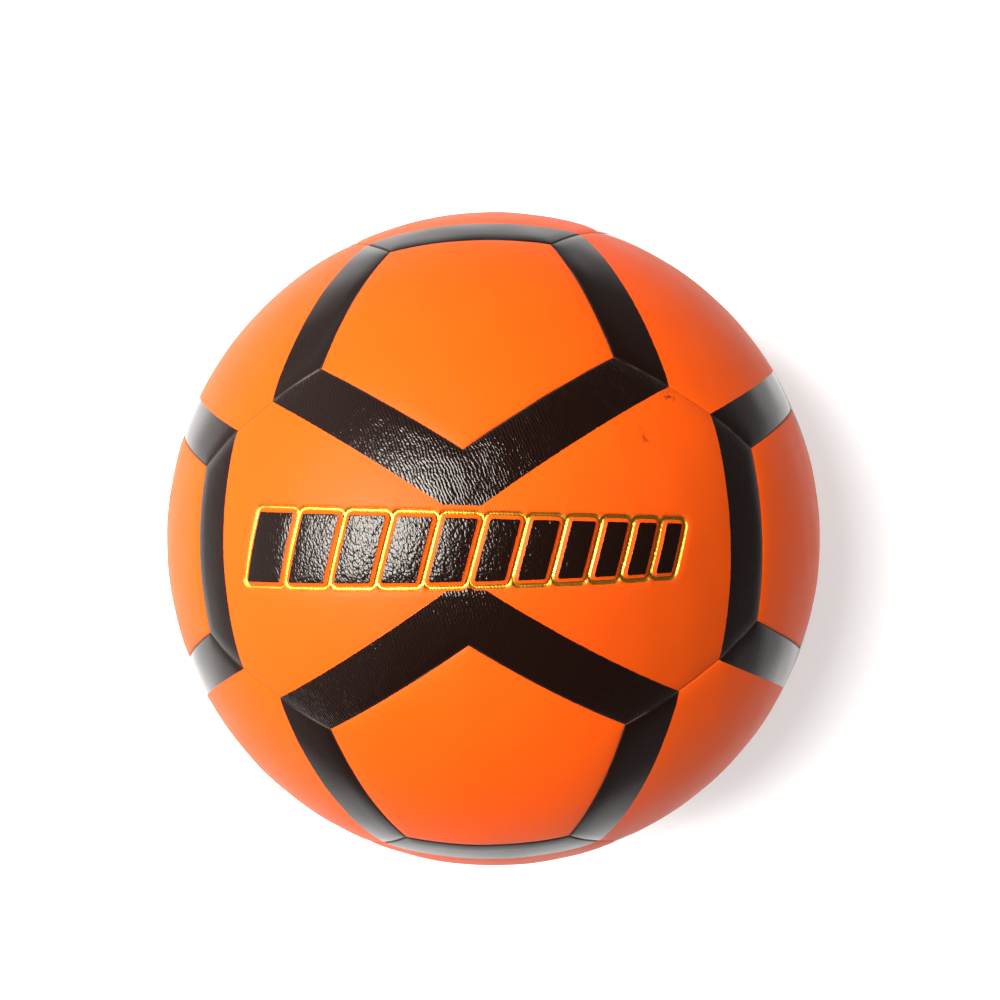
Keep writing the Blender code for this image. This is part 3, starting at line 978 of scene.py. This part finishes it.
def make_stage():
    mesh = bpy.data.meshes.new("floor")
    reach, height = FLOOR_REACH, CAD_LOW.z
    corners = [(-reach, -reach, height), (reach, -reach, height),
               (reach, reach, height), (-reach, reach, height)]
    mesh.from_pydata(corners, [], [(0, 1, 2, 3)])
    floor = bpy.data.objects.new("floor", mesh)
    bpy.context.collection.objects.link(floor)
    material, tree, shader, place = new_material("pale_floor")
    shade = blend_colors(tree, noise(tree, place, 6.0).outputs["Fac"],
                         (0.86, 0.86, 0.85, 1.0), (0.90, 0.90, 0.89, 1.0))
    fine = noise(tree, place, 400.0, 3.0).outputs["Fac"]
    bump = add(tree, "ShaderNodeBump", {"Height": fine, "Distance": 0.05 * MM, "Strength": 0.3})
    set_shader(tree, shader, shade, 0.7, bump)
    # painted light: the floor glows in its own colour, with a painted shadow near the ball
    tree.links.new(shade, shader.inputs["Emission Color"])
    tree.links.new(floor_glow(tree, place), shader.inputs["Emission Strength"])
    mesh.materials.append(material)


def floor_glow(tree, place):
    """How brightly the floor glows, as painted light: a painted shadow near the ball, and no glow far
    away.
    """
    from_shadow = add(tree, "ShaderNodeVectorMath", {0: place, 1: SHADOW_MIDDLE},
                      operation="DISTANCE").outputs["Value"]
    from_middle = add(tree, "ShaderNodeVectorMath", {0: place, 1: GLOW_MIDDLE},
                      operation="DISTANCE").outputs["Value"]
    glow = blend_values(tree, step_between(tree, from_shadow, *GLOW_STARTS), GLOW_NEAR_BALL, GLOW)
    return calc(tree, "MULTIPLY", glow, step_between(tree, from_middle, *reversed(GLOW_ENDS)))


def make_softbox(name, place, size, power):
    """A square lamp that faces the ball."""
    light = bpy.data.lights.new(name, "AREA")
    light.shape = "SQUARE"
    light.size = size
    light.energy = power
    softbox = bpy.data.objects.new(name, light)
    softbox.location = place
    softbox.rotation_euler = (-place).to_track_quat("-Z", "Y").to_euler()
    bpy.context.collection.objects.link(softbox)
    return softbox


def make_light():
    """Key and fill for the colours, and one box for the gloss alone."""
    key = make_softbox("key_softbox", KEY_PLACE, KEY_SIZE, KEY_POWER)
    key.visible_glossy = False
    fill = make_softbox("fill_softbox", FILL_PLACE, FILL_SIZE, FILL_POWER)
    fill.visible_glossy = False
    sheen = make_softbox("sheen_softbox", SHEEN_PLACE, SHEEN_SIZE, SHEEN_POWER)
    sheen.visible_diffuse = False
    sheen.data.color = SHEEN_COLOR


def make_room():
    """A dim room with paler walls and a window on the left."""
    world = bpy.data.worlds.new("window_room")
    world.use_nodes = True
    tree = world.node_tree
    background = tree.nodes["Background"]
    way = add(tree, "ShaderNodeTexCoord").outputs["Generated"]
    height = add(tree, "ShaderNodeSeparateXYZ", {0: way}).outputs["Z"]
    room = blend_colors(tree, step_between(tree, height, *WALL_EDGES), ROOM_LIGHT, WALL_LIGHT)
    towards = add(tree, "ShaderNodeVectorMath", {0: way, 1: WINDOW_WAY}, operation="DOT_PRODUCT")
    window = step_between(tree, towards.outputs["Value"], *WINDOW_EDGES)
    color = blend_colors(tree, window, room, WINDOW_LIGHT)
    tree.links.new(color, background.inputs["Color"])
    background.inputs["Strength"].default_value = 1.0
    bpy.context.scene.world = world
    bpy.context.scene.view_settings.view_transform = "Standard"


def make_camera():
    camera = bpy.data.cameras.new("camera")
    camera.lens = CAMERA_LENS
    camera.clip_start = 0.01
    obj = bpy.data.objects.new("camera", camera)
    back = (CAMERA_PLACE - CAMERA_AIM).normalized()
    right = Vector((0.0, 1.0, 0.0)).cross(back).normalized()
    level = Matrix((right, back.cross(right), back)).transposed().to_4x4()
    roll = Matrix.Rotation(math.radians(CAMERA_ROLL), 4, "Z")
    obj.matrix_world = Matrix.Translation(CAMERA_PLACE) @ level @ roll
    bpy.context.collection.objects.link(obj)
    bpy.context.scene.camera = obj


make_cover()
finish_inner_nodes()
make_stage()
make_light()
make_room()
make_camera()
